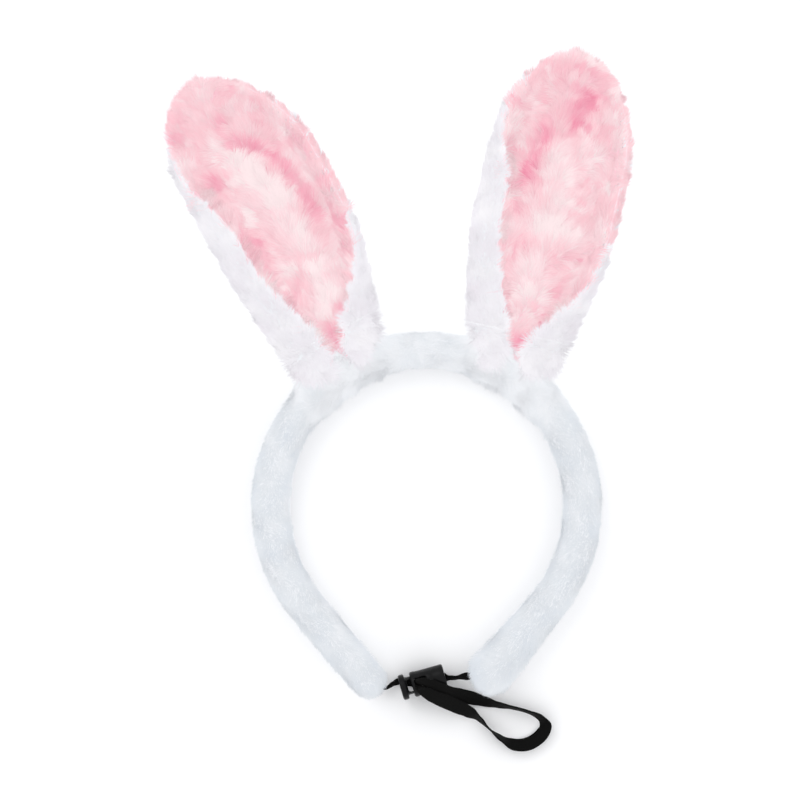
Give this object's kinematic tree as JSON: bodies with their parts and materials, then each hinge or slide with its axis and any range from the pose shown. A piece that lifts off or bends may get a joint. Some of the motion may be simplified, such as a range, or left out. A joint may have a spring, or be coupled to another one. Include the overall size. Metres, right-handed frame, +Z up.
{
  "type": "animal ears headband",
  "caption": "Padded plush headband with wired bunny ears, pink ear linings, and a black elastic chin strap closed by a sprung cord lock.",
  "frame": {"origin": "bottom centre of the box round the band and ears, on the surface that the headband lies on; the strap and its lock are left out of that box", "axes": "+X to the right as the headband lies face up with its ears away from the viewer, +Y from the hoop to the ear tips, +Z up off the surface"},
  "size_m": [0.2074, 0.3134, 0.0272],
  "materials": {
    "white_plush": "white short-pile plush",
    "pink_plush": "pink long-pile plush",
    "black_elastic": "woven black elastic",
    "black_plastic": "satin moulded black plastic",
    "core_plastic": "flexible natural plastic strip",
    "foam": "soft wadding",
    "felt": "white felt",
    "steel_wire": "annealed steel wire",
    "thread": "white sewing thread",
    "tape": "cloth tape wrap"
  },
  "bodies": {
    "root": {"band_core": "core_plastic", "band_padding": "foam", "band_cover": "white_plush", "band_seam_thread": "thread", "left_strap_binding": "tape", "right_strap_binding": "tape", "strap_left_lead": "black_elastic", "strap_right_lead": "black_elastic", "strap_loop": "black_elastic"},
    "left_ear": {"left_ear_back": "white_plush", "left_ear_interlining": "felt", "left_ear_lining": "pink_plush", "left_ear_wire": "steel_wire", "left_ear_rim_thread": "thread", "left_ear_base_thread": "thread"},
    "right_ear": {"right_ear_back": "white_plush", "right_ear_interlining": "felt", "right_ear_lining": "pink_plush", "right_ear_wire": "steel_wire", "right_ear_rim_thread": "thread", "right_ear_base_thread": "thread"},
    "cord_lock": {"lock_body": "black_plastic", "lock_spring": "steel_wire"},
    "plunger": {"lock_plunger": "black_plastic"}
  },
  "joints": [
    {"name": "left_ear_bend", "type": "hinge", "parent": "root", "child": "left_ear", "pos_m": [-0.02452, 0.00159, 0.0086], "axis": [0.8526, 0.5225, 0], "range_deg": [0, 75], "deforming": ["left_ear_wire"]},
    {"name": "right_ear_bend", "type": "hinge", "parent": "root", "child": "right_ear", "pos_m": [0.04905, 0.00159, 0.0086], "axis": [0.8526, -0.5225, 0], "range_deg": [0, 75], "deforming": ["right_ear_wire"]},
    {"name": "cord_lock_slide", "type": "slide", "parent": "root", "child": "cord_lock", "axis": [0.4509, -0.8926, 0], "range_m": [0, 0.018], "deforming": ["strap_left_lead", "strap_right_lead", "strap_loop"]},
    {"name": "plunger_press", "type": "slide", "parent": "cord_lock", "child": "plunger", "axis": [0.9622, 0.2723, 0], "range_m": [0, 0.0022], "stiffness_N_per_m": 600, "deforming": ["lock_spring"]}
  ]
}
